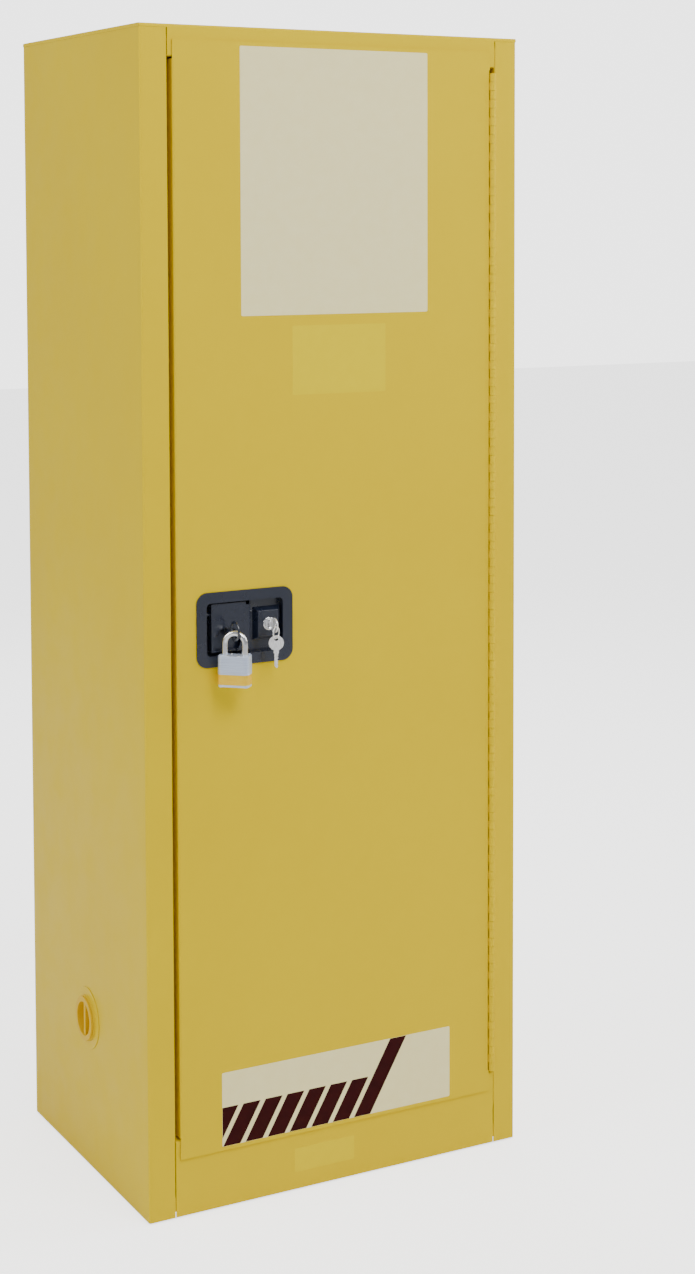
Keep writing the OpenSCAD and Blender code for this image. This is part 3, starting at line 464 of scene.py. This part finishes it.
def lock_top_rivets():
    """Domed heads of the middle rivets on the laminated body."""
    low, high = box("padlock_layers")
    x, y = (low.x + high.x) / 2, (low.y + high.y) / 2
    turn = Matrix.Rotation(math.radians(-42), 3, "Z")
    heads = []
    for along in (-7.5, 7.5):
        for across in (-7.5, 7.5):
            place = Vector((x, y, high.z)) + turn @ Vector((along * MM, across * MM, 0))
            dome = [(2.2 * MM * math.cos(a), 1.3 * MM * math.sin(a) - 0.1 * MM)
                    for a in (i * math.pi / 16 for i in range(8))] + [(0.02 * MM, 1.2 * MM)]
            heads.append(turned("head", dome, place, (0, 0, 1), STEEL, 24))
    stands_for(joined("padlock_top_rivets", *heads), "padlock", "lock_steel")


plug_face()
eye_ring()
lock_top_rivets()


# ---------------------------------------------------------------- striped label

def stripe_piece():
    """Diagonal stripes along the lower half, and one that runs the full height."""
    pitch, width, lean = 34.5 * MM, 26.4 * MM, 0.565
    band, full = 56 * MM, STRIPE_HIGH.z - STRIPE_LOW.z
    y = STRIPE_LOW.y - 0.06 * MM
    first = STRIPE_LOW.x + 1.2 * MM
    verts, faces = [], []
    for k in range(-1, 7):
        top = full if k == 6 else band
        x0 = first + k * pitch
        corners = [(x0, 0), (x0 + width, 0), (x0 + width + lean * top, top), (x0 + lean * top, top)]
        cut = []
        for (xa, za), (xb, zb) in zip(corners, corners[1:] + corners[:1]):
            inside_a, inside_b = xa >= STRIPE_LOW.x, xb >= STRIPE_LOW.x
            if inside_a:
                cut.append((xa, za))
            if inside_a != inside_b:
                t = (STRIPE_LOW.x - xa) / (xb - xa)
                cut.append((STRIPE_LOW.x, za + t * (zb - za)))
        if len(cut) < 3:
            continue
        base = len(verts)
        edge = 0.3 * MM
        verts += [(max(x, STRIPE_LOW.x + edge), y, STRIPE_LOW.z + min(max(z, edge), full - edge)) for x, z in cut]
        verts += [(v[0], y + 0.05 * MM, v[2]) for v in verts[base:]]
        n = len(cut)
        faces.append(tuple(base + i for i in range(n)))
        faces.append(tuple(base + n + i for i in reversed(range(n))))
        for i in range(n):
            j = (i + 1) % n
            faces.append((base + i, base + j, base + n + j, base + n + i))
    return add_object("stripe_print", verts, faces, STRIPE_BROWN, smooth=False)


stands_for(stripe_piece(), "door", "label_cream")


# ---------------------------------------------------------------- floor, light, camera

def camera_glow(nodes, links, low, high):
    """Strength that is high where the camera looks straight at it and low as a light."""
    path = nodes.new("ShaderNodeLightPath")
    return remapped(nodes, links, path.outputs["Is Camera Ray"], low, high, 0.0, 1.0)


def studio():
    material, nodes, links, shader = base_material("floor_white", (0.93, 0.93, 0.93), 0.85, specular=0.1)
    vector = coordinates(nodes, links)
    tone = remapped(nodes, links, noise(nodes, links, vector, 2.0), 0.0, 1.0)
    links.new(mixed(nodes, links, tone, (0.93, 0.93, 0.93), (0.92, 0.92, 0.92)), shader.inputs["Base Color"])
    shader.inputs["Emission Color"].default_value = (1, 1, 1, 1)
    links.new(camera_glow(nodes, links, 0.0, FLOOR_GLOW), shader.inputs["Emission Strength"])
    size = 14.0
    floor = add_object("studio_floor", [(-size, -size, -0.0005), (size, -size, -0.0005),
                                        (size, size, -0.0005), (-size, size, -0.0005)],
                       [(0, 1, 2, 3)], material, smooth=False)
    world = bpy.data.worlds.new("studio")
    bpy.context.scene.world = world
    world.use_nodes = True
    nodes, links = world.node_tree.nodes, world.node_tree.links
    sky = nodes["Background"]
    sky.inputs["Color"].default_value = (1.0, 1.0, 1.0, 1)
    links.new(camera_glow(nodes, links, AMBIENT, BACKDROP), sky.inputs["Strength"])


def area_light(name, place, target, size, power, colour=(1, 1, 1)):
    data = bpy.data.lights.new(name, "AREA")
    data.shape = "RECTANGLE"
    data.size, data.size_y = size
    data.energy = power
    data.color = colour
    obj = bpy.data.objects.new(name, data)
    obj.location = place
    obj.rotation_euler = (Vector(target) - Vector(place)).to_track_quat("-Z", "Y").to_euler()
    bpy.context.scene.collection.objects.link(obj)


def photo_camera():
    """Focal length of 2258 picture heights' worth of 1274 pixels, 30 degrees round to the left."""
    data = bpy.data.cameras.new("camera")
    data.sensor_width = 36.0
    data.lens = 2258 * 36.0 / 1274
    data.shift_x = -0.077
    data.shift_y = -0.215
    data.clip_start, data.clip_end = 0.05, 100
    obj = bpy.data.objects.new("camera", data)
    obj.location = (-1.4575, -3.0615, 1.400)
    obj.rotation_euler = (math.radians(90 - 3.86), 0, math.radians(-29.98))
    bpy.context.scene.collection.objects.link(obj)
    bpy.context.scene.camera = obj


studio()
area_light("key", (0.4, -2.5, 3.4), (0, -0.2, 1.0), (2.2, 1.2), 80)
area_light("side", (-3.3, -0.2, 2.4), (-0.3, 0, 0.9), (1.8, 2.2), 62)
area_light("right", (3.2, -1.0, 2.4), (0.3, 0, 0.9), (1.8, 2.2), 55)
area_light("rear", (0.8, 3.2, 2.6), (0, 0.2, 0.9), (2.4, 2.0), 45)
photo_camera()
